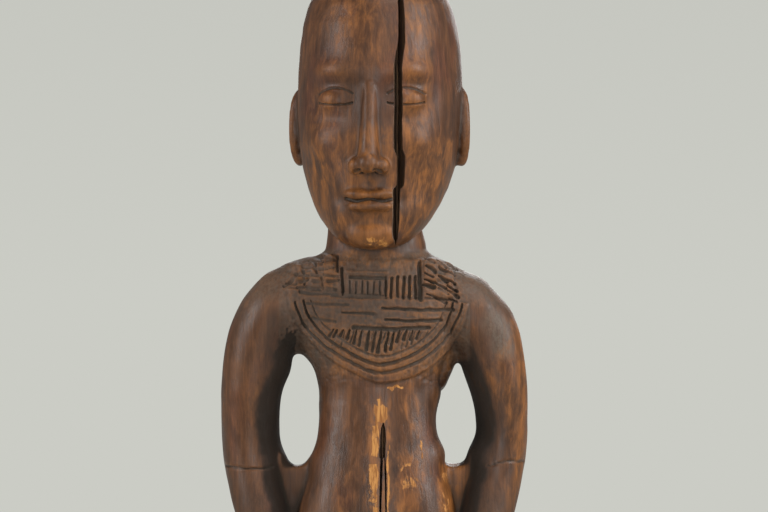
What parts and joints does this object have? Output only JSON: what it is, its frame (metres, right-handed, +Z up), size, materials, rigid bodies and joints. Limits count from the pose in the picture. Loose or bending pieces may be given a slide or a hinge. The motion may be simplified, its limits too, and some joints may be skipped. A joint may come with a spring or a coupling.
{
  "type": "carved ancestor figure",
  "caption": "Standing wooden figure on a round base, arms bowed clear of the waist, crescent panel on the chest, long seasoning crack in the head.",
  "frame": {"origin": "centre of the round base, on its underside", "axes": "+Z up the figure from base to crown; the figure faces -Y; +X is the figure's own left"},
  "size_m": [0.123, 0.104, 0.422],
  "materials": {
    "body_wood": "satin",
    "head_wood": "satin",
    "engraved_wood": "matte",
    "base_wood": "matte"
  },
  "bodies": {
    "root": {"abdomen": "body_wood", "base": "base_wood", "chest": "engraved_wood", "chest_panel": "engraved_wood", "head": "head_wood", "hips": "body_wood", "left_calf": "body_wood", "left_ear": "head_wood", "left_foot": "body_wood", "left_forearm": "body_wood", "left_hand": "body_wood", "left_thigh": "body_wood", "left_upper_arm": "body_wood", "left_web": "body_wood", "neck": "engraved_wood", "right_calf": "body_wood", "right_ear": "head_wood", "right_foot": "body_wood", "right_forearm": "body_wood", "right_hand": "body_wood", "right_thigh": "body_wood", "right_upper_arm": "body_wood", "right_web": "body_wood"}
  },
  "joints": []
}
